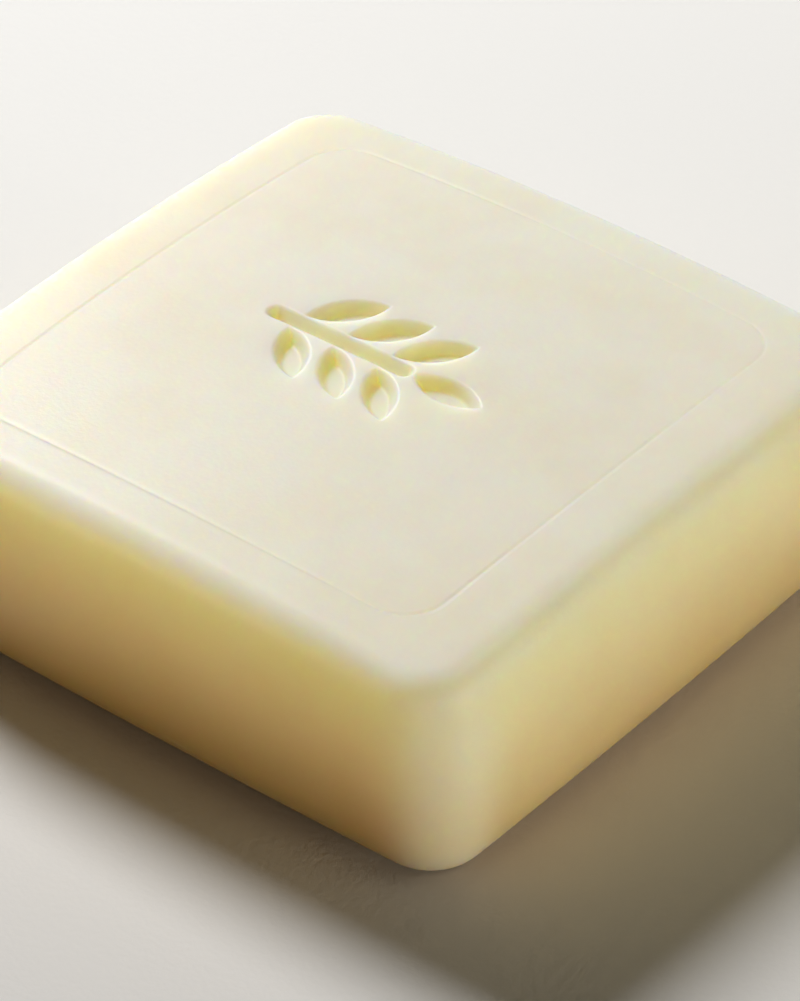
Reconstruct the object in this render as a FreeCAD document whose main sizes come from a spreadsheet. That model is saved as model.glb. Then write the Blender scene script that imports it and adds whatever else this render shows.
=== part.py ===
import FreeCAD, Part
import math
import os
import Sketcher

# A bar of pressed toilet soap. +Z is up, the bar lies on z = 0 and its origin is the middle of its
# underside. X runs along the sprig pressed into the top, and Y across it.

os.makedirs("parts", exist_ok=True)

NODE = "soap_bar"
LEAST_CUT = 1e-6
START, END, CENTRE = range(1, 4)
ORIGIN = (-1, 1)
X_LINE, Y_LINE = -1, -2

doc = FreeCAD.newDocument("SoapBar")
sheet = doc.addObject("Spreadsheet::Sheet", "Sizes")

# Driving dimensions in millimetres and degrees, each with its alias, value and meaning
DRIVING = [
    ("barLength", 68.4, "length over the widest line of the sides, along X"),
    ("barDepth", 65.6, "depth over the widest line of the sides, along Y"),
    ("barHeight", 23.9, "height at the crown of the top"),
    ("endBow", 0.45, "bow of the +X and -X sides in plan"),
    ("sideBow", 0.45, "bow of the +Y and -Y sides in plan"),
    ("cornerRadius", 6.0, "upright corners in plan, at the waist"),
    ("waistHeight", 11.6, "height of the widest line of the sides"),
    ("wallBulge", 1.5, "how far the waist stands out past the foot of the wall"),
    ("domeRadius", 420.0, "crowned top"),
    ("topShoulder", 3.2, "soft edge round the top"),
    ("baseShoulder", 3.2, "soft edge round the underside"),
    ("rimRise", 0.5, "step from the panel that the bar lies on up to the rim round it"),
    ("endMargin", 8.3, "from the widest line to the die panel, at each end in X"),
    ("sideMargin", 6.9, "from the widest line to the die panel, at each side in Y"),
    ("panelBow", 0.35, "bow of the panel's sides in plan"),
    ("panelCorner", 4.0, "corners of the die panel"),
    ("lineWidth", 0.24, "witness line round the panel"),
    ("lineDepth", 0.2, "depth of the witness line"),
    ("sprigDepth", 1.3, "depth of the pressed sprig below the crown"),
    ("sprigDraft", 12.0, "draft of the sprig's walls"),
    ("stemLength", 16.0, "stem of the sprig"),
    ("stemWidth", 1.4, "width of the stem"),
    ("leafLength", 7.0, "length of one leaf"),
    ("leafWidth", 2.8, "width of one leaf"),
    ("leafLean", 48.0, "angle between a leaf and the stem"),
    ("leafPitch", 5.0, "distance between the leaf pairs"),
    ("leafPairs", 3, "number of leaf pairs"),
    ("leafStart", 3.4, "stem below the first leaf pair"),
    ("leafGap", 0.6, "soap left between the stem and a leaf"),
    ("cutMargin", 1.5, "how far a cutting profile runs past the bar"),
]

for row, (alias, value, meaning) in enumerate(DRIVING, start=1):
    sheet.set("A%d" % row, meaning)
    sheet.set("B%d" % row, str(value))
    sheet.setAlias("B%d" % row, alias)
doc.recompute()

# Expressions that several features share
HALF_LENGTH = "Sizes.barLength/2"
PANEL_LENGTH = "(Sizes.barLength-2*Sizes.endMargin)"
PANEL_DEPTH = "(Sizes.barDepth-2*Sizes.sideMargin)"
PANEL = (PANEL_LENGTH, PANEL_DEPTH, "Sizes.panelBow", "Sizes.panelBow", "Sizes.panelCorner")
REACH = "Sizes.barLength/2+Sizes.cutMargin"
SIDE_REACH = "Sizes.barDepth/2+Sizes.cutMargin"
WALL_RADIUS = "(Sizes.waistHeight^2/(2*Sizes.wallBulge)+Sizes.wallBulge/2)"
SPRIG_FOOT = "(Sizes.stemLength+Sizes.leafGap+Sizes.leafLength)/2"
LEAF_RADIUS = "Sizes.leafLength^2/(4*Sizes.leafWidth)+Sizes.leafWidth/4"


# The value of an expression over the sheet
def amount(expression):
    return float(sheet.evalExpression(expression.replace("Sizes.", "")))


# One of the body's origin planes or axes
def datum(body, role):
    return next(item for item in body.Origin.OriginFeatures if item.Role == role)


# An empty sketch on one of the body's own planes, raised by an expression along the plane's normal
def new_sketch(body, name, role, raised=None):
    sketch = body.newObject("Sketcher::SketchObject", name)
    sketch.AttachmentSupport = [(datum(body, role), "")]
    sketch.MapMode = "FlatFace"
    if raised:
        sketch.setExpression("AttachmentOffset.Base.z", raised)
    return sketch


# A named dimension in a sketch, bound to the sheet
def dimension(sketch, name, kind, where, expression):
    value = amount(expression)
    if kind == "Angle":
        value = math.radians(value)
    index = sketch.addConstraint(Sketcher.Constraint(kind, *where, value))
    sketch.renameConstraint(index, name)
    sketch.setExpression("Constraints." + name, expression)


# A closed run of straight lines through the points, joined end to end
def add_lines(sketch, points):
    lines = []
    for start, end in zip(points, points[1:]):
        segment = Part.LineSegment(FreeCAD.Vector(*start, 0), FreeCAD.Vector(*end, 0))
        lines.append(sketch.addGeometry(segment, False))
    for first, second in zip(lines, lines[1:]):
        sketch.addConstraint(Sketcher.Constraint("Coincident", first, END, second, START))
    return lines


# A rounded rectangle with bowed sides: four long arcs joined by four corner arcs, all tangent.
# The bow of each side is measured over the whole of that side, and grow moves the outline outward.
def bowed_outline(sketch, prefix, length, depth, end_bow, side_bow, corner, grow="0"):
    half = {"X": "(%s/2+%s)" % (length, grow), "Y": "(%s/2+%s)" % (depth, grow)}
    radius = {
        "X": "(%s^2/(8*%s)+%s/2+%s)" % (depth, end_bow, end_bow, grow),
        "Y": "(%s^2/(8*%s)+%s/2+%s)" % (length, side_bow, side_bow, grow),
    }
    corner_radius = "(%s+%s)" % (corner, grow)
    half_x, half_y = amount(half["X"]), amount(half["Y"])
    radius_x, radius_y = amount(radius["X"]), amount(radius["Y"])
    rounding = amount(corner_radius)

    # The corner's centre lies at the same depth inside both long arcs
    centre_x, centre_y = half_x - rounding, half_y - rounding
    for _ in range(20):
        centre_x = half_x - radius_x + math.sqrt((radius_x - rounding) ** 2 - centre_y ** 2)
        centre_y = half_y - radius_y + math.sqrt((radius_y - rounding) ** 2 - centre_x ** 2)
    lean_x = math.atan2(centre_y, centre_x - half_x + radius_x)
    lean_y = math.atan2(centre_x, centre_y - half_y + radius_y)

    arcs = []
    for turn in range(4):
        along_x = turn % 2 == 0
        side_half, side_radius, lean = (half_x, radius_x, lean_x) if along_x else (half_y, radius_y, lean_y)
        facing = turn * math.pi / 2
        outward = FreeCAD.Vector(math.cos(facing), math.sin(facing), 0)
        circle = Part.Circle(outward * (side_half - side_radius), FreeCAD.Vector(0, 0, 1), side_radius)
        arcs.append(sketch.addGeometry(Part.ArcOfCircle(circle, facing - lean, facing + lean), False))
        next_lean = lean_y if along_x else lean_x
        sign_x = 1 if turn in (0, 3) else -1
        sign_y = 1 if turn in (0, 1) else -1
        middle = FreeCAD.Vector(sign_x * centre_x, sign_y * centre_y, 0)
        circle = Part.Circle(middle, FreeCAD.Vector(0, 0, 1), rounding)
        sweep = Part.ArcOfCircle(circle, facing + lean, facing + math.pi / 2 - next_lean)
        arcs.append(sketch.addGeometry(sweep, False))

    for first, second in zip(arcs, arcs[1:] + arcs[:1]):
        sketch.addConstraint(Sketcher.Constraint("Tangent", first, END, second, START))
    for turn, side in enumerate(arcs[0::2]):
        axis = "X" if turn % 2 == 0 else "Y"
        across = X_LINE if axis == "X" else Y_LINE
        sketch.addConstraint(Sketcher.Constraint("PointOnObject", side, CENTRE, across))
        inward = (side, CENTRE, *ORIGIN) if turn < 2 else (*ORIGIN, side, CENTRE)
        name = "%sSide%d" % (prefix, turn)
        dimension(sketch, name + "Radius", "Radius", (side,), radius[axis])
        dimension(sketch, name + "Centre", "Distance" + axis, inward, radius[axis] + "-" + half[axis])
    for turn, bend in enumerate(arcs[1::2]):
        dimension(sketch, "%sCorner%d" % (prefix, turn), "Radius", (bend,), corner_radius)


# The plan of the bar at its waist
def bar_plan(body, name, raised=None):
    sketch = new_sketch(body, name, "XY_Plane", raised)
    bowed_outline(sketch, "bar", "Sizes.barLength", "Sizes.barDepth", "Sizes.endBow", "Sizes.sideBow",
                  "Sizes.cornerRadius")
    return sketch


# A ring of the witness line's width round the outline of the die panel
def line_plan(body, name, raised):
    sketch = new_sketch(body, name, "XY_Plane", raised)
    bowed_outline(sketch, "outer", *PANEL, "Sizes.lineWidth/2")
    bowed_outline(sketch, "inner", *PANEL, "-Sizes.lineWidth/2")
    return sketch


# The block that the plan outline gives, as high as the crown
def add_blank(body):
    blank = body.newObject("PartDesign::Pad", "Blank")
    blank.Profile = bar_plan(body, "PlanOutline")
    blank.setExpression("Length", "Sizes.barHeight")


# The wall's cutting profile: an arc that touches the widest line at the waist, and below it the soft
# edge of the underside, carried round the bar
def cut_wall(body):
    profile = new_sketch(body, "WallProfile", "XZ_Plane")
    radius, waist, edge = amount(WALL_RADIUS), amount("Sizes.waistHeight"), amount("Sizes.baseShoulder")
    centre_x = amount(HALF_LENGTH) - radius
    foot, low, high = amount("Sizes.rimRise"), -amount("Sizes.cutMargin"), amount("Sizes.barHeight+Sizes.cutMargin")
    upward = FreeCAD.Vector(0, 0, 1)
    drop = waist - foot - edge
    edge_x = centre_x + math.sqrt((radius - edge) ** 2 - drop ** 2)
    lean = math.atan2(-drop, edge_x - centre_x)
    wall_circle = Part.Circle(FreeCAD.Vector(centre_x, waist, 0), upward, radius)
    edge_circle = Part.Circle(FreeCAD.Vector(edge_x, foot + edge, 0), upward, edge)
    climb = math.asin((high - waist) / radius)
    wall = profile.addGeometry(Part.ArcOfCircle(wall_circle, lean, climb), False)
    turn = profile.addGeometry(Part.ArcOfCircle(edge_circle, -math.pi / 2, lean), False)
    outside = amount(REACH)
    head = (centre_x + radius * math.cos(climb), high)
    corners = [head, (outside, high), (outside, low), (edge_x, low), (edge_x, foot)]
    top, side, bottom, inner = add_lines(profile, corners)
    profile.addConstraint([
        Sketcher.Constraint("Tangent", turn, END, wall, START),
        Sketcher.Constraint("Coincident", wall, END, top, START),
        Sketcher.Constraint("Coincident", inner, END, turn, START),
        Sketcher.Constraint("Vertical", turn, START, turn, CENTRE),
        Sketcher.Constraint("Horizontal", top),
        Sketcher.Constraint("Vertical", side),
        Sketcher.Constraint("Horizontal", bottom),
        Sketcher.Constraint("Vertical", inner),
    ])
    dimension(profile, "wallRadius", "Radius", (wall,), WALL_RADIUS)
    dimension(profile, "wallCentre", "DistanceX", (wall, CENTRE, *ORIGIN), WALL_RADIUS + "-" + HALF_LENGTH)
    dimension(profile, "waist", "DistanceY", (*ORIGIN, wall, CENTRE), "Sizes.waistHeight")
    dimension(profile, "edgeRadius", "Radius", (turn,), "Sizes.baseShoulder")
    dimension(profile, "foot", "DistanceY", (*ORIGIN, turn, START), "Sizes.rimRise")
    dimension(profile, "below", "DistanceY", (bottom, END, *ORIGIN), "Sizes.cutMargin")
    dimension(profile, "above", "DistanceY", (*ORIGIN, wall, END), "Sizes.barHeight+Sizes.cutMargin")
    dimension(profile, "outside", "DistanceX", (*ORIGIN, side, START), REACH)

    cut = body.newObject("PartDesign::SubtractivePipe", "Wall")
    cut.Profile = profile
    cut.Spine = (bar_plan(body, "WaistPath", "Sizes.waistHeight"), [])


# The crown: everything above one large ball is turned away
def cut_crown(body):
    profile = new_sketch(body, "CrownProfile", "XZ_Plane")
    crown, radius = amount("Sizes.barHeight"), amount("Sizes.domeRadius")
    reach_expression = "(Sizes.barLength+Sizes.barDepth)/2"
    reach = amount(reach_expression)
    high = crown + amount("Sizes.cutMargin")
    edge = math.asin(reach / radius)
    circle = Part.Circle(FreeCAD.Vector(0, crown - radius, 0), FreeCAD.Vector(0, 0, 1), radius)
    arc = profile.addGeometry(Part.ArcOfCircle(circle, math.pi / 2 - edge, math.pi / 2), False)
    rim = (reach, crown - radius + radius * math.cos(edge))
    axis, top, side = add_lines(profile, [(0, crown), (0, high), (reach, high), rim])
    profile.addConstraint([
        Sketcher.Constraint("Coincident", arc, END, axis, START),
        Sketcher.Constraint("Coincident", side, END, arc, START),
        Sketcher.Constraint("Vertical", axis),
        Sketcher.Constraint("Horizontal", top),
        Sketcher.Constraint("Vertical", side),
        Sketcher.Constraint("PointOnObject", arc, CENTRE, Y_LINE),
        Sketcher.Constraint("PointOnObject", arc, END, Y_LINE),
    ])
    dimension(profile, "domeRadius", "Radius", (arc,), "Sizes.domeRadius")
    dimension(profile, "crown", "DistanceY", (*ORIGIN, arc, END), "Sizes.barHeight")
    dimension(profile, "above", "DistanceY", (*ORIGIN, top, START), "Sizes.barHeight+Sizes.cutMargin")
    dimension(profile, "reach", "DistanceX", (*ORIGIN, side, START), reach_expression)

    cut = body.newObject("PartDesign::Groove", "Crown")
    cut.Profile = profile
    cut.ReferenceAxis = (profile, ["V_Axis"])
    cut.Angle = 360


# The rim of the underside: a shallow step round the panel that the bar lies on
def cut_base_rim(body):
    plan = new_sketch(body, "BaseRimPlan", "XY_Plane")
    bowed_outline(plan, "panel", *PANEL, "Sizes.lineWidth/2")
    across, along = amount(REACH), amount(SIDE_REACH)
    corners = [(-across, -along), (across, -along), (across, along), (-across, along), (-across, -along)]
    near, right, far, left = add_lines(plan, corners)
    plan.addConstraint([
        Sketcher.Constraint("Coincident", left, END, near, START),
        Sketcher.Constraint("Horizontal", near),
        Sketcher.Constraint("Vertical", right),
        Sketcher.Constraint("Horizontal", far),
        Sketcher.Constraint("Vertical", left),
    ])
    dimension(plan, "right", "DistanceX", (*ORIGIN, near, END), REACH)
    dimension(plan, "left", "DistanceX", (near, START, *ORIGIN), REACH)
    dimension(plan, "near", "DistanceY", (near, START, *ORIGIN), SIDE_REACH)
    dimension(plan, "far", "DistanceY", (*ORIGIN, far, START), SIDE_REACH)
    rim = body.newObject("PartDesign::Pocket", "BaseRim")
    rim.Profile = plan
    rim.Reversed = True
    rim.setExpression("Length", "Sizes.rimRise")


# The soft edge round the top: a constant radius between the wall and the crown
def round_top(body):
    base = body.Tip
    end_line = amount("Sizes.barLength/2-Sizes.endMargin/2")
    side_line = amount("Sizes.barDepth/2-Sizes.sideMargin/2")
    names = []
    for index, edge in enumerate(base.Shape.Edges, start=1):
        middle = edge.valueAt((edge.FirstParameter + edge.LastParameter) / 2)
        level = edge.BoundBox.ZLength < amount("Sizes.wallBulge")
        outer = abs(middle.x) > end_line or abs(middle.y) > side_line
        if level and outer and middle.z > amount("Sizes.waistHeight+Sizes.topShoulder"):
            names.append("Edge%d" % index)
    shoulder = body.newObject("PartDesign::Fillet", "TopShoulder")
    shoulder.Base = (base, names)
    shoulder.setExpression("Radius", "Sizes.topShoulder")


# The witness line on the crowned top: a ring whose foot lies on a ball just under the crown
def cut_top_line(body):
    tool = doc.addObject("PartDesign::Body", "TopLineTool")
    ring = tool.newObject("PartDesign::Pad", "TopLineRing")
    ring.Profile = line_plan(tool, "TopLinePlan", "Sizes.waistHeight")
    ring.setExpression("Length", "Sizes.barHeight-Sizes.waistHeight+Sizes.cutMargin")
    ball = tool.newObject("PartDesign::SubtractiveSphere", "TopLineFoot")
    ball.setExpression("Radius", "Sizes.domeRadius-Sizes.lineDepth")
    ball.setExpression("Placement.Base.z", "Sizes.barHeight-Sizes.domeRadius")
    tool.Tip = ball
    doc.recompute()
    cut = body.newObject("PartDesign::Boolean", "TopLine")
    cut.Type = "Cut"
    cut.setObjects([tool])


# A recess of the sprig, pressed down from the height of the crown
def press(body, name, sketch):
    recess = body.newObject("PartDesign::Pocket", name)
    recess.Profile = sketch
    recess.setExpression("Length", "Sizes.sprigDepth")
    recess.setExpression("TaperAngle", "-Sizes.sprigDraft")
    return recess


# The stem: a straight groove with round ends
def press_stem(body):
    sketch = new_sketch(body, "StemPlan", "XY_Plane", "Sizes.barHeight")
    half = amount("Sizes.stemWidth/2")
    foot = -amount(SPRIG_FOOT) + half
    head = foot + amount("Sizes.stemLength-Sizes.stemWidth")
    upward = FreeCAD.Vector(0, 0, 1)
    lower = Part.Circle(FreeCAD.Vector(foot, 0, 0), upward, half)
    upper = Part.Circle(FreeCAD.Vector(head, 0, 0), upward, half)
    foot_arc = sketch.addGeometry(Part.ArcOfCircle(lower, math.pi / 2, 3 * math.pi / 2), False)
    head_arc = sketch.addGeometry(Part.ArcOfCircle(upper, -math.pi / 2, math.pi / 2), False)
    near, = add_lines(sketch, [(foot, -half), (head, -half)])
    far, = add_lines(sketch, [(head, half), (foot, half)])
    sketch.addConstraint([
        Sketcher.Constraint("Tangent", foot_arc, END, near, START),
        Sketcher.Constraint("Tangent", near, END, head_arc, START),
        Sketcher.Constraint("Tangent", head_arc, END, far, START),
        Sketcher.Constraint("Tangent", far, END, foot_arc, START),
        Sketcher.Constraint("PointOnObject", foot_arc, CENTRE, X_LINE),
        Sketcher.Constraint("Horizontal", near),
    ])
    dimension(sketch, "endRadius", "Radius", (foot_arc,), "Sizes.stemWidth/2")
    dimension(sketch, "foot", "DistanceX", (foot_arc, CENTRE, *ORIGIN), SPRIG_FOOT + "-Sizes.stemWidth/2")
    dimension(sketch, "run", "DistanceX", (near, START, near, END), "Sizes.stemLength-Sizes.stemWidth")
    return press(body, "Stem", sketch)


# A leaf: two equal arcs between its two tips, on a centre line that leans from the stem
def press_leaf(body, name, base_x, base_y, lean):
    sketch = new_sketch(body, name + "Plan", "XY_Plane", "Sizes.barHeight")
    angle, length, radius = math.radians(amount(lean)), amount("Sizes.leafLength"), amount(LEAF_RADIUS)
    base = FreeCAD.Vector(amount(base_x), amount(base_y), 0)
    along = FreeCAD.Vector(math.cos(angle), math.sin(angle), 0)
    across = FreeCAD.Vector(-along.y, along.x, 0)
    tip = base + along * length
    rise = math.sqrt(radius ** 2 - (length / 2) ** 2)
    spread = math.asin(length / 2 / radius)
    middle = (base + tip) / 2
    upward = FreeCAD.Vector(0, 0, 1)
    edges = []
    for sign in (1, -1):
        circle = Part.Circle(middle + across * (-sign * rise), upward, radius)
        facing = angle + sign * math.pi / 2
        edges.append(sketch.addGeometry(Part.ArcOfCircle(circle, facing - spread, facing + spread), False))
    rib = sketch.addGeometry(Part.LineSegment(base, tip), True)
    left, right = edges
    sketch.addConstraint([
        Sketcher.Constraint("Coincident", left, START, right, END),
        Sketcher.Constraint("Coincident", left, END, right, START),
        Sketcher.Constraint("Coincident", rib, START, left, END),
        Sketcher.Constraint("Coincident", rib, END, left, START),
        Sketcher.Constraint("Equal", left, right),
    ])
    dimension(sketch, "leafRadius", "Radius", (left,), LEAF_RADIUS)
    dimension(sketch, "leafLength", "Distance", (rib,), "Sizes.leafLength")
    dimension(sketch, "baseX", "DistanceX", (*ORIGIN, rib, START), base_x)
    dimension(sketch, "baseY", "DistanceY", (*ORIGIN, rib, START), base_y)
    dimension(sketch, "lean", "Angle", (rib,), lean)
    return press(body, name, sketch)


# The leaf pairs: one leaf, mirrored over the stem and repeated along it
def press_leaf_pairs(body):
    base_x = "Sizes.leafStart-" + SPRIG_FOOT
    base_y = "Sizes.stemWidth/2+Sizes.leafGap"
    leaf = press_leaf(body, "Leaf", base_x, base_y, "Sizes.leafLean")
    pairs = body.newObject("PartDesign::MultiTransform", "LeafPairs")
    pairs.Originals = [leaf]
    mirror = body.newObject("PartDesign::Mirrored", "LeafMirror")
    mirror.MirrorPlane = (datum(body, "XZ_Plane"), [""])
    row = body.newObject("PartDesign::LinearPattern", "LeafRow")
    row.Direction = (datum(body, "X_Axis"), [""])
    row.Mode = "Spacing"
    row.setExpression("Offset", "Sizes.leafPitch")
    row.setExpression("Occurrences", "Sizes.leafPairs")
    pairs.Transformations = [mirror, row]
    body.Tip = pairs


# Stop on any object that failed to compute
def check_document():
    for item in doc.Objects:
        if "Invalid" in item.State or "Error" in item.State:
            raise RuntimeError("%s failed: %s" % (item.Name, item.State))


bar = doc.addObject("PartDesign::Body", "SoapBar")
bar.Label = NODE
steps = [
    ("blank", lambda: add_blank(bar)),
    ("base rim", lambda: cut_base_rim(bar)),
    ("wall", lambda: cut_wall(bar)),
    ("crown", lambda: cut_crown(bar)),
    ("top shoulder", lambda: round_top(bar)),
    ("top line", lambda: cut_top_line(bar)),
    ("stem", lambda: press_stem(bar)),
    ("leaf pairs", lambda: press_leaf_pairs(bar)),
    ("bud", lambda: press_leaf(bar, "Bud", SPRIG_FOOT + "-Sizes.leafLength", "0", "0")),
]
volume = None
for title, build in steps:
    build()
    doc.recompute()
    check_document()
    before, volume = volume, bar.Shape.Volume
    if before is not None and before - volume < LEAST_CUT:
        raise RuntimeError("%s cut nothing" % title)
    print("%-14s volume %.1f mm3, %d faces" % (title, volume, len(bar.Shape.Faces)))

shape = bar.Shape
if shape.isNull() or not shape.isValid() or len(shape.Solids) != 1:
    raise RuntimeError("the bar isn't one valid solid")
shape.Solids[0].exportStep("parts/%s.step" % NODE)
box = shape.optimalBoundingBox(False, False)
print("box X %.2f..%.2f Y %.2f..%.2f Z %.2f..%.2f" % (box.XMin, box.XMax, box.YMin, box.YMax, box.ZMin, box.ZMax))
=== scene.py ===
import math

import bmesh
import bpy
from mathutils import Matrix, Vector


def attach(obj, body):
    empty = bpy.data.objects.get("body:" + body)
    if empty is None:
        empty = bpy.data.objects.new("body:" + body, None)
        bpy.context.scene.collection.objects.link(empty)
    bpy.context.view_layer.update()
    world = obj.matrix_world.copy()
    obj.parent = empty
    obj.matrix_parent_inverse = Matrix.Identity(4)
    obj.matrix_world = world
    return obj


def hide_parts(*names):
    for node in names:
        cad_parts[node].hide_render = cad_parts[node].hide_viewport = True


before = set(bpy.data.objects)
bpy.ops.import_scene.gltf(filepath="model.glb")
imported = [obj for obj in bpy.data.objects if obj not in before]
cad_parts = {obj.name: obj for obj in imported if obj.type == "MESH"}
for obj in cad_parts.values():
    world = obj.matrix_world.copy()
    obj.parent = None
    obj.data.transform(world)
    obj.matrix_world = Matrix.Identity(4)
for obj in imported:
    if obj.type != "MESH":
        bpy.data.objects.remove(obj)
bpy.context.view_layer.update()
scene = bpy.context.scene
mm = 0.001
print("frame loaded")

# form of the pressed bar, in millimetres
soapForm = {
    "length": 68.4, "depth": 65.6, "height": 23.9,
    "bow": 0.45,            # how far the middle of each side stands out
    "corner": 6.0,
    "waist": 11.6,          # height of the widest line round the wall
    "bulge": 1.5,           # how far the wall draws in at top and foot
    "crownRadius": 420.0,
    "shoulder": 3.2,
    "footRise": 0.5,        # step from the panel underneath up to the rim round it
    "footSteps": [(0.7, 0.94), (0.35, 0.5), (0.1, 0.06), (-0.2, 0.0)],     # way out and height, in rises
    "cornerSteps": 14, "sideSteps": 61,
    "wallSteps": 7, "shoulderSteps": 12, "rimSteps": 6,
    "steepest": 0.9, "halvings": 50,       # search for the angle where wall and shoulder meet
}

# fine line that the edge of the die leaves round the top panel; the panel underneath has its plan
pressLine = {
    "length": 51.8, "depth": 51.8, "corner": 4.0, "bow": 0.35,
    "width": 0.34, "sink": 0.06,
    "steps": [(1.5, 0.0), (0.9, 0.04), (0.5, 0.45), (0.22, 0.92), (0.0, 1.0),
              (-0.22, 0.92), (-0.5, 0.45), (-0.9, 0.04), (-1.5, 0.0)],     # in widths and sinks
}

# leaf sprig pressed into the top
sprig = {
    "foot": -11.8, "stemLength": 16.0, "stemWidth": 1.4,
    "leafLength": 7.0, "leafWidth": 2.8, "leafLean": 48.0,
    "firstLeaf": 3.4, "leafPitch": 5.0, "leafPairs": 3, "leafGap": 0.6,
    "sink": 1.15,
    "lip": 0.34, "wall": 0.62,      # soft lip outside the outline, run of the wall inside it
    "fineStep": 0.14, "coarseStep": 1.3, "stepGrowth": 1.16,
    "edgeGap": 0.3, "snap": 0.02,   # room left at the panel's edge, reach of a cut to a vertex
    "reachX": 13.0, "reachY": 7.6,
}


def outlineRing(length, depth, corner, bow):
    # a plain plate with rounded corners and cut sides gives the ring of points
    bm = bmesh.new()
    bmesh.ops.create_grid(bm, x_segments=1, y_segments=1, size=1.0)
    bmesh.ops.scale(bm, vec=Vector((length / 2 - bow, depth / 2 - bow, 1)), verts=bm.verts[:])
    bmesh.ops.bevel(bm, geom=bm.verts[:], offset=corner, affect="VERTICES",
                    segments=soapForm["cornerSteps"], profile=0.5, material=-1, clamp_overlap=True)
    sides = [e for e in bm.edges if e.calc_length() > 4 * corner]
    bmesh.ops.subdivide_edges(bm, edges=sides, cuts=soapForm["sideSteps"] - 1)
    start = max(bm.verts, key=lambda v: (round(v.co.x, 4), -abs(v.co.y)))
    ring, here, last = [], start, None
    while True:
        ring.append(here)
        options = [e.other_vert(here) for e in here.link_edges if e.other_vert(here) is not last]
        if last is None:
            options = [max(options, key=lambda v: v.co.y)]
        last, here = here, options[0]
        if here is start:
            break
    points = []
    for v in ring:
        across = v.co.x / (length / 2 - bow)
        along = v.co.y / (depth / 2 - bow)
        swell = Vector((across * (1 - along ** 2), along * (1 - across ** 2))) * bow
        points.append(Vector((v.co.x, v.co.y)) + swell)
    bm.free()
    return points


def outwardDirections(points):
    found = []
    for i, here in enumerate(points):
        before = here - points[i - 1]
        after = points[(i + 1) % len(points)] - here
        tangent = before.normalized() * after.length + after.normalized() * before.length
        found.append(Vector((tangent.y, -tangent.x)).normalized())
    return found


def crownHeight(x, y):
    radius = soapForm["crownRadius"]
    return soapForm["height"] - radius + math.sqrt(radius ** 2 - x * x - y * y)


def ringEdges(ring):
    edges = []
    for i, v in enumerate(ring):
        after = ring[(i + 1) % len(ring)]
        edges.append(next(e for e in v.link_edges if e.other_vert(v) is after))
    return edges


def growRing(bm, ring, places):
    # the next ring round the bar, each vertex put where the section says
    grown = bmesh.ops.extrude_edge_only(bm, edges=ringEdges(ring))
    fresh = {g for g in grown["geom"] if isinstance(g, bmesh.types.BMVert)}
    newRing = []
    for v, place in zip(ring, places):
        partner = next(e.other_vert(v) for e in v.link_edges if e.other_vert(v) in fresh)
        partner.co = place
        newRing.append(partner)
    return newRing


class WallSection:
    # section of the bar at one point of its outline: x runs outwards, z is height
    def __init__(self, point, outward):
        self.point, self.outward = point, outward
        self.waist = soapForm["waist"]
        bulge = soapForm["bulge"]
        self.radius = self.waist ** 2 / (2 * bulge) + bulge / 2

    def place(self, x, z):
        flat = self.point + self.outward * x
        return Vector((flat.x, flat.y, z))

    def wall(self, angle, inside=0.0):
        reach = self.radius - inside
        return self.place(reach * math.cos(angle) - self.radius, self.waist + reach * math.sin(angle))

    def solve(self, gap):
        low, high = 0.0, soapForm["steepest"]
        for _ in range(soapForm["halvings"]):
            middle = (low + high) / 2
            if gap(middle) > 0:
                high = middle
            else:
                low = middle
        return middle

    # each shoulder: angle up the wall, centre of its arc, and the directions where the arc starts and ends
    def topShoulder(self):
        r = soapForm["shoulder"]
        crownCentre = Vector((0, 0, soapForm["height"] - soapForm["crownRadius"]))
        toCrown = soapForm["crownRadius"] - r
        angle = self.solve(lambda a: (self.wall(a, r) - crownCentre).length - toCrown)
        centre = self.wall(angle, r)
        flat = self.outward * math.cos(angle)
        return angle, centre, Vector((flat.x, flat.y, math.sin(angle))), (centre - crownCentre).normalized()

    def footShoulder(self):
        r = soapForm["shoulder"]
        level = soapForm["footRise"] + r
        angle = self.solve(lambda a: level - self.wall(-a, r).z)
        flat = self.outward * math.cos(angle)
        return angle, self.wall(-angle, r), Vector((flat.x, flat.y, -math.sin(angle))), Vector((0, 0, -1))


def leafInside(x, y, baseX, baseY, lean, length, width):
    # how far a point is inside a leaf of two equal arcs
    angle = math.radians(lean)
    dx, dy = x - baseX, y - baseY
    along = dx * math.cos(angle) + dy * math.sin(angle) - length / 2
    across = abs(-dx * math.sin(angle) + dy * math.cos(angle))
    radius = (length ** 2 / 4 + width ** 2 / 4) / width
    return radius - math.hypot(along, across + radius - width / 2)


def sprigInside(x, y):
    y = abs(y)
    half = sprig["stemWidth"] / 2
    head = sprig["foot"] + sprig["stemLength"] - half
    nearest = min(max(x, sprig["foot"] + half), head)
    inside = half - math.hypot(x - nearest, y)
    for pair in range(sprig["leafPairs"]):
        baseX = sprig["foot"] + sprig["firstLeaf"] + pair * sprig["leafPitch"]
        inside = max(inside, leafInside(x, y, baseX, half + sprig["leafGap"], sprig["leafLean"],
                                        sprig["leafLength"], sprig["leafWidth"]))
    endLeaf = -sprig["foot"] - sprig["leafLength"]
    return max(inside, leafInside(x, y, endLeaf, 0.0, 0.0, sprig["leafLength"], sprig["leafWidth"]))


def sprigSink(x, y):
    inside = sprigInside(x, y)
    t = (inside + sprig["lip"]) / (sprig["lip"] + sprig["wall"])
    t = min(max(t, 0.0), 1.0)
    return sprig["sink"] * t * t * (3 - 2 * t)


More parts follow.
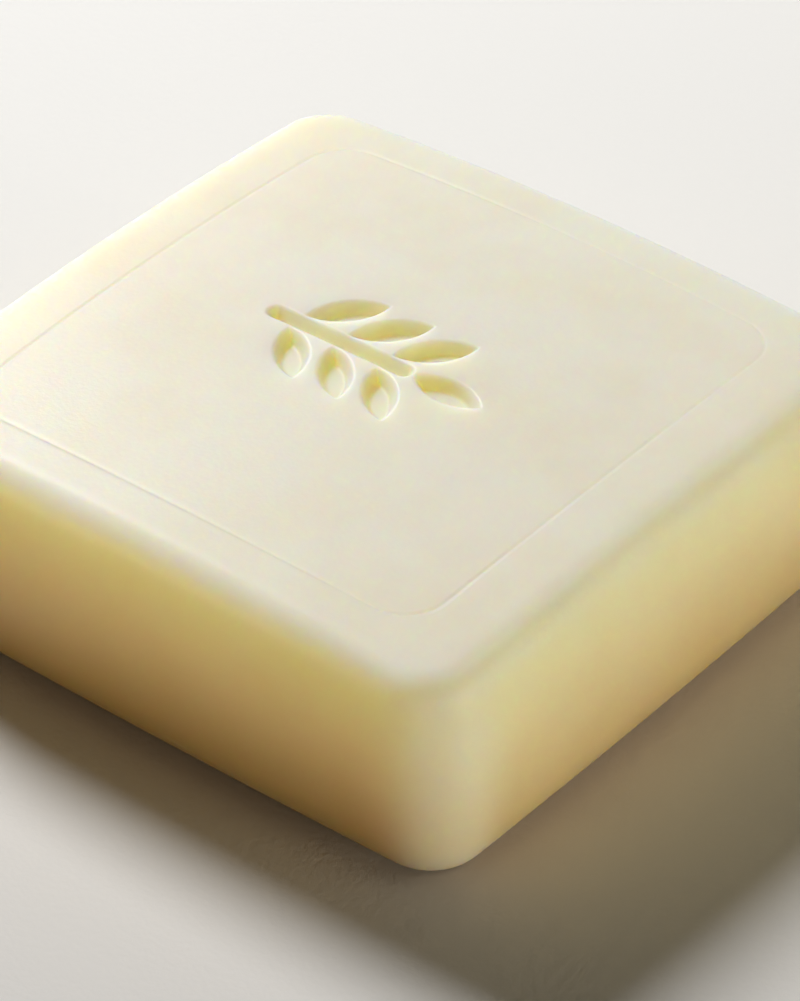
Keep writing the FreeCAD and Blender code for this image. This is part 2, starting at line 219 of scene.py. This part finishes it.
def cutPlaces(reach, half):
    # fine steps over the sprig, wider ones towards the panel's edge
    count = math.ceil(2 * reach / sprig["fineStep"])
    places = [-reach + 2 * reach * i / count for i in range(count + 1)]
    step, here = sprig["fineStep"], reach
    while here < half:
        step = min(step * sprig["stepGrowth"], sprig["coarseStep"])
        here += step
        if here < half - sprig["edgeGap"]:
            places += [here, -here]
    return sorted(places)


def cutInRows(bm, faces, normal, places):
    # slices the faces one after another; what lies beyond a cut is sliced next
    rest, done = list(faces), []
    for place in places:
        geom = set(rest)
        for f in rest:
            geom.update(f.edges)
            geom.update(f.verts)
        cut = bmesh.ops.bisect_plane(bm, geom=list(geom), dist=sprig["snap"],
                                     plane_co=normal * place, plane_no=normal)
        pieces = [g for g in cut["geom"] if isinstance(g, bmesh.types.BMFace)]
        rest = [f for f in pieces if f.calc_center_median().dot(normal) > place]
        done += [f for f in pieces if f.calc_center_median().dot(normal) <= place]
    return done + rest


def buildSoap():
    outer = outlineRing(soapForm["length"], soapForm["depth"], soapForm["corner"], soapForm["bow"])
    panel = outlineRing(pressLine["length"], pressLine["depth"], pressLine["corner"], pressLine["bow"])
    panelOutward = outwardDirections(panel)
    sections = [WallSection(p, n) for p, n in zip(outer, outwardDirections(outer))]

    bm = bmesh.new()
    bm.verts.layers.float.new("pressed")     # how deep a vertex is in the sprig, 0 to 1
    bm.verts.layers.float.new("below")       # how far it is below the crown, in heights of the bar
    bm.verts.layers.float.new("corner")      # 1 at the corners of the plan's box, 0 on the middle lines
    pressed, below, corner = (bm.verts.layers.float[name] for name in ("pressed", "below", "corner"))
    waist = [bm.verts.new(s.place(0, soapForm["waist"])) for s in sections]
    for i, v in enumerate(waist):
        bm.edges.new((waist[i - 1], v))

    def growWall(side, shoulders):
        # from the waist up or down the bulging wall and round the shoulder
        ring = waist
        for step in range(1, soapForm["wallSteps"] + 1):
            part = side * step / soapForm["wallSteps"]
            ring = growRing(bm, ring, [s.wall(f[0] * part) for s, f in zip(sections, shoulders)])
        for step in range(1, soapForm["shoulderSteps"] + 1):
            part = step / soapForm["shoulderSteps"]
            ring = growRing(bm, ring, [c + soapForm["shoulder"] * a.slerp(b, part)
                                       for _, c, a, b in shoulders])
        return ring

    def panelEdge(away):
        return [p + n * away for p, n in zip(panel, panelOutward)]

    def growRim(ring, edge, heightAt):
        start = [v.co.xy for v in ring]
        for step in range(1, soapForm["rimSteps"] + 1):
            flat = [p.lerp(q, step / soapForm["rimSteps"]) for p, q in zip(start, edge)]
            ring = growRing(bm, ring, [Vector((p.x, p.y, heightAt(p))) for p in flat])
        return ring

    # top: wall, shoulder, rim, pressed line, panel
    ring = growWall(1, [s.topShoulder() for s in sections])
    lineOffsets = [(pressLine["width"] * away, pressLine["sink"] * sunk)
                   for away, sunk in pressLine["steps"]]
    ring = growRim(ring, panelEdge(lineOffsets[0][0]), lambda p: crownHeight(p.x, p.y))
    for away, sunk in lineOffsets[1:]:
        ring = growRing(bm, ring, [Vector((p.x, p.y, crownHeight(p.x, p.y) - sunk))
                                   for p in panelEdge(away)])
    panelFace = bmesh.ops.contextual_create(bm, geom=ringEdges(ring))["faces"]
    columns = cutInRows(bm, panelFace, Vector((1, 0, 0)),
                        cutPlaces(sprig["reachX"], pressLine["length"] / 2))
    cells = cutInRows(bm, columns, Vector((0, 1, 0)),
                      cutPlaces(sprig["reachY"], pressLine["depth"] / 2))
    for v in {v for f in cells for v in f.verts} - set(ring):
        sink = sprigSink(v.co.x, v.co.y)
        v.co.z = crownHeight(v.co.x, v.co.y) - sink
        v[pressed] = math.sqrt(sink / sprig["sink"])

    # underside: the same down to a flat rim, a small soft step and the panel that the bar lies on
    ring = growWall(-1, [s.footShoulder() for s in sections])
    rise = soapForm["footRise"]
    ring = growRim(ring, panelEdge(rise), lambda p: rise)
    for away, height in soapForm["footSteps"]:
        ring = growRing(bm, ring, [Vector((p.x, p.y, rise * height)) for p in panelEdge(rise * away)])
    bmesh.ops.contextual_create(bm, geom=ringEdges(ring))
    bmesh.ops.recalc_face_normals(bm, faces=bm.faces[:])
    for v in bm.verts:
        if v[pressed] == 0:
            v[below] = (crownHeight(v.co.x, v.co.y) - v.co.z) / soapForm["height"]
        v[corner] = abs(v.co.x * v.co.y) / (soapForm["length"] * soapForm["depth"] / 4)
    bmesh.ops.scale(bm, vec=Vector((mm, mm, mm)), verts=bm.verts[:])
    for f in bm.faces:
        f.smooth = True
    mesh = bpy.data.meshes.new("soapBody")
    bm.to_mesh(mesh)
    bm.free()
    body = bpy.data.objects.new("soapBody", mesh)
    scene.collection.objects.link(body)
    return body


soapBody = buildSoap()
triangles = sum(len(p.vertices) - 2 for p in soapBody.data.polygons)
print("soap built, %d triangles" % triangles)

# finish of the soap
soapFinish = {
    # colour by millimetres below the crown: the soap's cream on top; a paler band round the shoulder is
    # painted light; the yellow down the wall, the amber and the dark brown at the foot are painted shade
    "toneAndPaintedShade": [(0.0, (0.92, 0.88, 0.755, 1)), (0.3, (0.97, 0.945, 0.84, 1)), (0.9, (0.975, 0.94, 0.80, 1)),
              (2.1, (0.97, 0.925, 0.71, 1)), (3.2, (0.965, 0.91, 0.64, 1)), (7.0, (0.93, 0.85, 0.55, 1)),
              (12.0, (0.85, 0.72, 0.41, 1)), (17.5, (0.76, 0.56, 0.28, 1)), (22.5, (0.54, 0.33, 0.14, 1))],
    # painted shade: the pressed sprig is tinted yellower, with less blue, for the translucent shade in its
    # hollows
    "pressed": (0.96, 0.89, 0.66, 1),
    # painted highlight: the upright corners are painted paler, standing in for the light that comes through
    # them and the sheen on them
    "corner": (0.93, 0.90, 0.82, 1), "cornerFrom": 0.66, "cornerTo": 0.90, "cornerHighlightAmount": 0.55,
    "cloud": (0.93, 0.88, 0.76, 1), "cloudScale": 110.0, "cloudDetail": 3.0,
    "cloudFrom": 0.4, "cloudTo": 0.7, "cloudAmount": 0.35,
    "grainScale": 2600.0, "grainDetail": 2.0, "grainHeight": 0.12, "grainDepth": 0.0001,
    "shader": {
        "Roughness": 0.45, "IOR": 1.46, "Specular IOR Level": 0.28, "Subsurface Weight": 1.0,
        "Subsurface Radius": (1.0, 0.65, 0.18), "Subsurface Scale": 0.012,
    },
}


def setInputs(node, values):
    for name, value in values.items():
        node.inputs[name].default_value = value


def makeGrainGroup():
    # fine grain of the soap and of the floor, put out as a height
    group = bpy.data.node_groups.new("surfaceGrain", "ShaderNodeTree")
    group.interface.new_socket(name="Place", in_out="INPUT", socket_type="NodeSocketVector")
    group.interface.new_socket(name="Scale", in_out="INPUT", socket_type="NodeSocketFloat")
    group.interface.new_socket(name="Detail", in_out="INPUT", socket_type="NodeSocketFloat")
    group.interface.new_socket(name="Height", in_out="OUTPUT", socket_type="NodeSocketFloat")
    nodes, links = group.nodes, group.links
    given, grain, result = (nodes.new(kind) for kind in
                            ("NodeGroupInput", "ShaderNodeTexNoise", "NodeGroupOutput"))
    links.new(given.outputs["Place"], grain.inputs["Vector"])
    links.new(given.outputs["Scale"], grain.inputs["Scale"])
    links.new(given.outputs["Detail"], grain.inputs["Detail"])
    links.new(grain.outputs["Fac"], result.inputs["Height"])
    return group


surfaceGrain = makeGrainGroup()


def addGrain(nodes, links, place, shader, finish):
    grain, bump = nodes.new("ShaderNodeGroup"), nodes.new("ShaderNodeBump")
    grain.node_tree = surfaceGrain
    setInputs(grain, {"Scale": finish["grainScale"], "Detail": finish["grainDetail"]})
    setInputs(bump, {"Strength": finish["grainHeight"], "Distance": finish["grainDepth"]})
    links.new(place, grain.inputs["Place"])
    links.new(grain.outputs["Height"], bump.inputs["Height"])
    links.new(bump.outputs["Normal"], shader.inputs["Normal"])


def addRise(nodes, links, value, low, high, top=1.0, kind="SMOOTHSTEP"):
    # 0 up to the low value, then rising to the top amount at the high one
    rise = nodes.new("ShaderNodeMapRange")
    rise.interpolation_type = kind
    setInputs(rise, {"From Min": low, "From Max": high, "To Max": top})
    links.new(value, rise.inputs["Value"])
    return rise.outputs["Result"]


def addTint(nodes, links, amount, base, color, kind="MIX"):
    # the base colour with another one laid over it
    tint = nodes.new("ShaderNodeMix")
    tint.data_type = "RGBA"
    tint.blend_type = kind
    tint.inputs["B"].default_value = color
    links.new(amount, tint.inputs["Factor"])
    links.new(base, tint.inputs["A"])
    return tint.outputs["Result"]


def addReading(nodes, name):
    reading = nodes.new("ShaderNodeAttribute")
    reading.attribute_name = name
    return reading.outputs["Fac"]


def soapMaterial():
    mat = bpy.data.materials.new("ivorySoap")
    mat.use_nodes = True
    nodes, links = mat.node_tree.nodes, mat.node_tree.links
    shader = nodes["Principled BSDF"]
    place = nodes.new("ShaderNodeTexCoord").outputs["Object"]
    # painted light and shade by depth below the crown: a paler shoulder, then the wall painted darker down to
    # a dark brown foot
    ramp = nodes.new("ShaderNodeValToRGB")
    stops = ramp.color_ramp.elements
    stops.remove(stops[1])
    for drop, color in soapFinish["toneAndPaintedShade"]:
        stops.new(drop / soapForm["height"]).color = color
    stops.remove(stops[0])      # the last stop that the ramp came with
    links.new(addReading(nodes, "below"), ramp.inputs["Fac"])
    # painted highlight: the upright corners mixed towards a paler colour
    cornerHighlight = addRise(nodes, links, addReading(nodes, "corner"),
                       soapFinish["cornerFrom"], soapFinish["cornerTo"], soapFinish["cornerHighlightAmount"])
    color = addTint(nodes, links, cornerHighlight, ramp.outputs["Color"], soapFinish["corner"])
    cloud = nodes.new("ShaderNodeTexNoise")
    setInputs(cloud, {"Scale": soapFinish["cloudScale"], "Detail": soapFinish["cloudDetail"]})
    links.new(place, cloud.inputs["Vector"])
    cloudy = addRise(nodes, links, cloud.outputs["Fac"], soapFinish["cloudFrom"],
                     soapFinish["cloudTo"], soapFinish["cloudAmount"], "LINEAR")
    color = addTint(nodes, links, cloudy, color, soapFinish["cloud"], "MULTIPLY")
    # painted shade: the sprig's hollows mixed towards a yellower tint by how deep they are pressed
    color = addTint(nodes, links, addReading(nodes, "pressed"), color, soapFinish["pressed"])
    links.new(color, shader.inputs["Base Color"])
    addGrain(nodes, links, place, shader, soapFinish)
    setInputs(shader, soapFinish["shader"])
    return mat


soapBody.data.materials.append(soapMaterial())
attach(soapBody, "root")
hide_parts("soap_bar")
print("soap finished")

# floor and background
studioFloor = {
    "size": 12.0,
    "turn": -40.4,                       # painted shade: the floor tone darkens towards the camera, along its line of sight, standing in for the light falling off
    "near": (0.775, 0.755, 0.74, 1), "far": (1.0, 0.985, 0.965, 1), "nearAt": -0.09, "farAt": 0.06,
    "bounce": (0.30, 0.19, 0.09, 1),     # what the soap gets back from the floor
    "background": (0.945, 0.92, 0.89, 1), "fadeFrom": 0.13, "fadeTo": 0.32,
    "grainScale": 1400.0, "grainDetail": 4.0, "grainHeight": 0.35, "grainDepth": 0.0001,
    "shader": {"Roughness": 0.9, "Specular IOR Level": 0.0},
}


def addSeenDirectly(nodes, links):
    # 1 for rays from the camera and for reflected and refracted ones, 0 for diffuse ones
    path = nodes.new("ShaderNodeLightPath")
    last = path.outputs["Is Camera Ray"]
    for kind in ("Is Glossy Ray", "Is Transmission Ray"):
        either = nodes.new("ShaderNodeMath")
        either.operation = "MAXIMUM"
        links.new(last, either.inputs[0])
        links.new(path.outputs[kind], either.inputs[1])
        last = either.outputs["Value"]
    return last


def floorMaterial():
    mat = bpy.data.materials.new("paleFloor")
    mat.use_nodes = True
    nodes, links = mat.node_tree.nodes, mat.node_tree.links
    shader = nodes["Principled BSDF"]
    setInputs(shader, studioFloor["shader"])
    place = nodes.new("ShaderNodeTexCoord").outputs["Object"]
    turned, split = nodes.new("ShaderNodeMapping"), nodes.new("ShaderNodeSeparateXYZ")
    turned.inputs["Rotation"].default_value = (0, 0, math.radians(studioFloor["turn"]))
    links.new(place, turned.inputs["Vector"])
    links.new(turned.outputs["Vector"], split.inputs["Vector"])
    # painted shade: the floor is painted darker near the camera and paler away from it
    paintedFalloff = nodes.new("ShaderNodeMix")
    paintedFalloff.data_type = "RGBA"
    paintedFalloff.inputs["A"].default_value = studioFloor["near"]
    paintedFalloff.inputs["B"].default_value = studioFloor["far"]
    depth = addRise(nodes, links, split.outputs["Y"], studioFloor["nearAt"], studioFloor["farAt"])
    links.new(depth, paintedFalloff.inputs["Factor"])
    links.new(paintedFalloff.outputs["Result"], shader.inputs["Base Color"])
    addGrain(nodes, links, place, shader, studioFloor)
    away = nodes.new("ShaderNodeVectorMath")
    away.operation = "LENGTH"
    links.new(place, away.inputs[0])
    fade = addRise(nodes, links, away.outputs["Value"], studioFloor["fadeFrom"], studioFloor["fadeTo"])
    pale, bounce = nodes.new("ShaderNodeEmission"), nodes.new("ShaderNodeBsdfDiffuse")
    pale.inputs["Color"].default_value = studioFloor["background"]
    bounce.inputs["Color"].default_value = studioFloor["bounce"]
    seen, either = nodes.new("ShaderNodeMixShader"), nodes.new("ShaderNodeMixShader")
    links.new(fade, seen.inputs["Fac"])
    links.new(shader.outputs["BSDF"], seen.inputs[1])
    links.new(pale.outputs["Emission"], seen.inputs[2])
    links.new(addSeenDirectly(nodes, links), either.inputs["Fac"])
    links.new(bounce.outputs["BSDF"], either.inputs[1])
    links.new(seen.outputs["Shader"], either.inputs[2])
    links.new(either.outputs["Shader"], nodes["Material Output"].inputs["Surface"])
    return mat


def buildFloor():
    bm = bmesh.new()
    bmesh.ops.create_grid(bm, x_segments=1, y_segments=1, size=studioFloor["size"] / 2)
    mesh = bpy.data.meshes.new("studioFloor")
    bm.to_mesh(mesh)
    bm.free()
    floor = bpy.data.objects.new("studioFloor", mesh)
    scene.collection.objects.link(floor)
    floor.data.materials.append(floorMaterial())
    return floor


buildFloor()

# light: a large key from behind left, low lamps for the two walls, a weak fill for the right shoulder
studioLight = {
    "key": {"place": (-0.84, 0.33, 0.78), "size": (0.36, 0.36), "power": 16.0, "color": (0.985, 0.99, 0.985)},
    "side": {"place": (0.66, 0.035, 0.045), "size": (0.4, 0.09), "power": 2.06, "color": (1.0, 0.955, 0.77)},
    "corner": {"place": (0.44, -0.52, 0.09), "size": (0.3, 0.14), "power": 0.33, "color": (1.0, 0.92, 0.70)},
    "fill": {"place": (0.52, 0.16, 0.33), "size": (0.4, 0.4), "power": 0.27, "color": (1.0, 0.92, 0.72)},
}
frontBeam = {    # warm beam on the upper part of the shaded wall, so the wall darkens to its foot
    "place": (-0.344, -0.491, 0.035), "aim": (0.0, -0.033, 0.146), "angle": 28.0, "blend": 0.27,
    "size": 0.02, "power": 9.0, "color": (1.0, 0.77, 0.36),
}
roomLight = {"color": (1.0, 0.64, 0.26, 1), "strength": 0.009}


def hangLamp(name, kind, place, aim, power, color):
    light = bpy.data.lights.new(name, kind)
    light.energy = power
    light.color = color
    lamp = bpy.data.objects.new(name, light)
    lamp.location = place
    lamp.rotation_euler = (Vector(place) - Vector(aim)).to_track_quat("Z", "Y").to_euler()
    scene.collection.objects.link(lamp)
    return light


for name, lamp in studioLight.items():
    areaLight = hangLamp(name + "Light", "AREA", lamp["place"], (0, 0, 0), lamp["power"], lamp["color"])
    areaLight.shape = "ELLIPSE"
    areaLight.size, areaLight.size_y = lamp["size"]
frontLight = hangLamp("frontLight", "SPOT", frontBeam["place"], frontBeam["aim"],
                      frontBeam["power"], frontBeam["color"])
frontLight.spot_size = math.radians(frontBeam["angle"])
frontLight.spot_blend = frontBeam["blend"]
frontLight.shadow_soft_size = frontBeam["size"]


def buildRoom():
    # a faint warm glow on the object, and the pale background where the room is seen
    room = bpy.data.worlds.new("room")
    room.use_nodes = True
    nodes, links = room.node_tree.nodes, room.node_tree.links
    glow, backdrop = nodes["Background"], nodes.new("ShaderNodeBackground")
    setInputs(glow, {"Color": roomLight["color"], "Strength": roomLight["strength"]})
    backdrop.inputs["Color"].default_value = studioFloor["background"]
    either = nodes.new("ShaderNodeMixShader")
    links.new(addSeenDirectly(nodes, links), either.inputs["Fac"])
    links.new(glow.outputs["Background"], either.inputs[1])
    links.new(backdrop.outputs["Background"], either.inputs[2])
    links.new(either.outputs["Shader"], nodes["World Output"].inputs["Surface"])
    scene.world = room


buildRoom()
print("light set")

# camera at the photograph's viewing angle, lengths in millimetres
photoView = {
    "azimuth": 40.375, "elevation": 37.634, "roll": -1.358,
    "distance": 465.44, "right": 1.917, "up": 6.2265,
    "focal": 5164.19, "frameHeight": 1001, "sensor": 36,     # focal length in pixels of the photograph
    "clipStart": 20.0,
}


def addCamera():
    turn, lift, roll = (math.radians(photoView[k]) for k in ("azimuth", "elevation", "roll"))
    back = Vector((math.sin(turn) * math.cos(lift), -math.cos(turn) * math.cos(lift), math.sin(lift)))
    right = Vector((math.cos(turn), math.sin(turn), 0))
    up = back.cross(right)
    rolledRight = right * math.cos(roll) + up * math.sin(roll)
    rolledUp = up * math.cos(roll) - right * math.sin(roll)
    place = back * photoView["distance"] + rolledRight * photoView["right"] + rolledUp * photoView["up"]
    camera = bpy.data.cameras.new("photoCamera")
    camera.lens = photoView["focal"] * photoView["sensor"] / photoView["frameHeight"]
    camera.sensor_width = photoView["sensor"]
    camera.clip_start = photoView["clipStart"] * mm
    holder = bpy.data.objects.new("photoCamera", camera)
    turned = Matrix((rolledRight, rolledUp, back)).transposed().to_4x4()
    holder.matrix_world = Matrix.Translation(place * mm) @ turned
    scene.collection.objects.link(holder)
    scene.camera = holder


addCamera()
scene.view_settings.view_transform = "Standard"
print("camera set")
